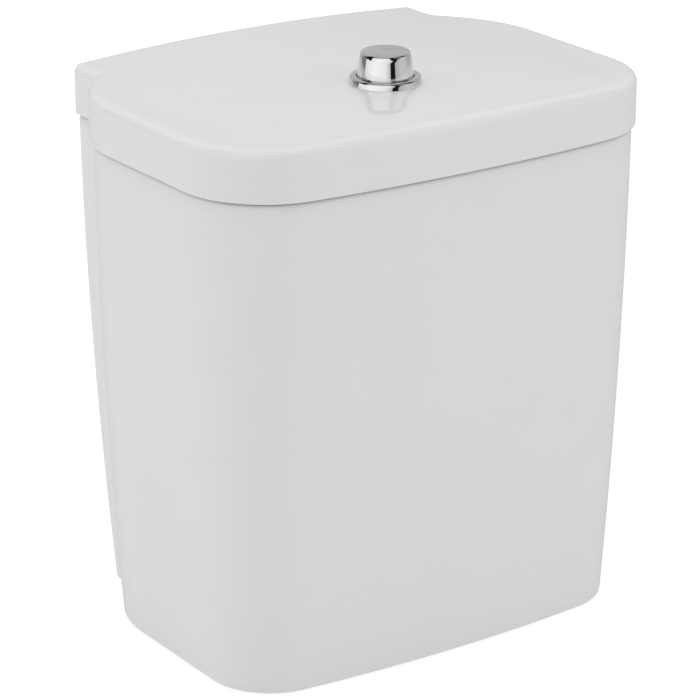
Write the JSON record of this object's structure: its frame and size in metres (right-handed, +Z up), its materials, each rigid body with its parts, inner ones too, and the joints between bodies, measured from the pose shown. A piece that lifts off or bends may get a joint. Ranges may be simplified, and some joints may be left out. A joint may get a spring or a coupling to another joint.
{
  "type": "toilet cistern",
  "caption": "Close-coupled ceramic cistern with a stepped-in back, crowned lid, raised push button, and its flush and fill valves inside.",
  "frame": {"origin": "on the flush outlet's axis, level with the flat rim that the cistern stands on", "axes": "+Z up, +Y towards the wall behind the cistern, +X to the right seen from the front"},
  "size_m": [0.35, 0.2675, 0.4069],
  "materials": {
    "glazed_ceramic": "glossy white glaze",
    "chrome": "polished chrome plating",
    "white_plastic": "satin moulded plastic",
    "grey_plastic": "satin moulded plastic",
    "blue_plastic": "satin moulded plastic",
    "black_plastic": "satin moulded plastic",
    "foam": "closed-cell foam",
    "black_rubber": "matt moulded rubber",
    "steel": "bright stainless or plated steel"
  },
  "bodies": {
    "tank": {"cistern_tank": "glazed_ceramic", "lid_pads": "black_rubber", "flush_valve_base": "white_plastic", "flush_base_seal": "black_rubber", "flush_backnut": "black_plastic", "coupling_plate": "steel", "coupling_gasket": "black_rubber", "valve_tower": "white_plastic", "tower_cap": "white_plastic", "rocker_pins": "steel", "inlet_tail": "white_plastic", "inlet_seal": "black_rubber", "inlet_backnut": "grey_plastic", "inlet_filter": "black_plastic", "fill_riser": "white_plastic", "fill_valve_head": "white_plastic", "diaphragm": "black_rubber", "fill_valve_cap": "grey_plastic", "float_arm_pin": "steel", "fill_outlet_tube": "white_plastic", "blanking_plug": "white_plastic", "blanking_seal": "black_rubber", "blanking_nut": "grey_plastic"},
    "lid": {"cistern_lid": "glazed_ceramic", "button_bezel": "chrome", "button_guide": "grey_plastic", "guide_seal": "black_rubber", "guide_nut": "grey_plastic", "button_spring": "steel"},
    "button": {"button_dome": "chrome", "push_rod": "steel", "rod_nut": "steel"},
    "plunger": {"valve_plunger": "grey_plastic"},
    "flush_spindle": {"overflow_tube": "white_plastic", "flush_seal": "black_rubber", "seal_retainer": "white_plastic", "valve_float": "foam", "lift_collar": "grey_plastic"},
    "right_rocker": {"rocker_right": "blue_plastic"},
    "left_rocker": {"rocker_left": "blue_plastic"},
    "float": {"float_cup": "blue_plastic", "float_rod": "steel", "rod_clips": "black_plastic"},
    "float_lever": {"float_arm": "grey_plastic"}
  },
  "joints": [
    {"name": "lid_lift", "type": "slide", "parent": "tank", "child": "lid", "axis": [0, 0, 1], "range_m": [0, 0.15]},
    {"name": "button_press", "type": "slide", "parent": "lid", "child": "button", "axis": [0, 0, -1], "range_m": [0, 0.01], "stiffness_N_per_m": 600, "springref_m": -0.004, "deforming": ["button_spring"]},
    {"name": "plunger_drop", "type": "slide", "parent": "tank", "child": "plunger", "axis": [0, 0, -1], "range_m": [0, 0.01]},
    {"name": "spindle_lift", "type": "slide", "parent": "tank", "child": "flush_spindle", "axis": [0, 0, 1], "range_m": [0, 0.01]},
    {"name": "right_rocker_swing", "type": "hinge", "parent": "tank", "child": "right_rocker", "pos_m": [0.03, 0, 0.255], "axis": [0, 1, 0], "range_deg": [0, 41.86]},
    {"name": "left_rocker_swing", "type": "hinge", "parent": "tank", "child": "left_rocker", "pos_m": [-0.03, 0, 0.255], "axis": [0, -1, 0], "range_deg": [0, 41.86]},
    {"name": "float_rise", "type": "slide", "parent": "tank", "child": "float", "axis": [0, 0, 1], "range_m": [0, 0.014]},
    {"name": "float_lever_swing", "type": "hinge", "parent": "tank", "child": "float_lever", "pos_m": [0.118, 0.014, 0.281], "axis": [-1, 0, 0], "range_deg": [0, 21.24]}
  ],
  "couplings": [
    {"joint": "plunger_drop", "follows": "button_press", "ratio": 1},
    {"joint": "spindle_lift", "follows": "button_press", "ratio": 1},
    {"joint": "right_rocker_swing", "follows": "button_press", "rad_per_m": 73.041},
    {"joint": "left_rocker_swing", "follows": "button_press", "rad_per_m": 73.041},
    {"joint": "float_lever_swing", "follows": "float_rise", "rad_per_m": 26.467}
  ]
}
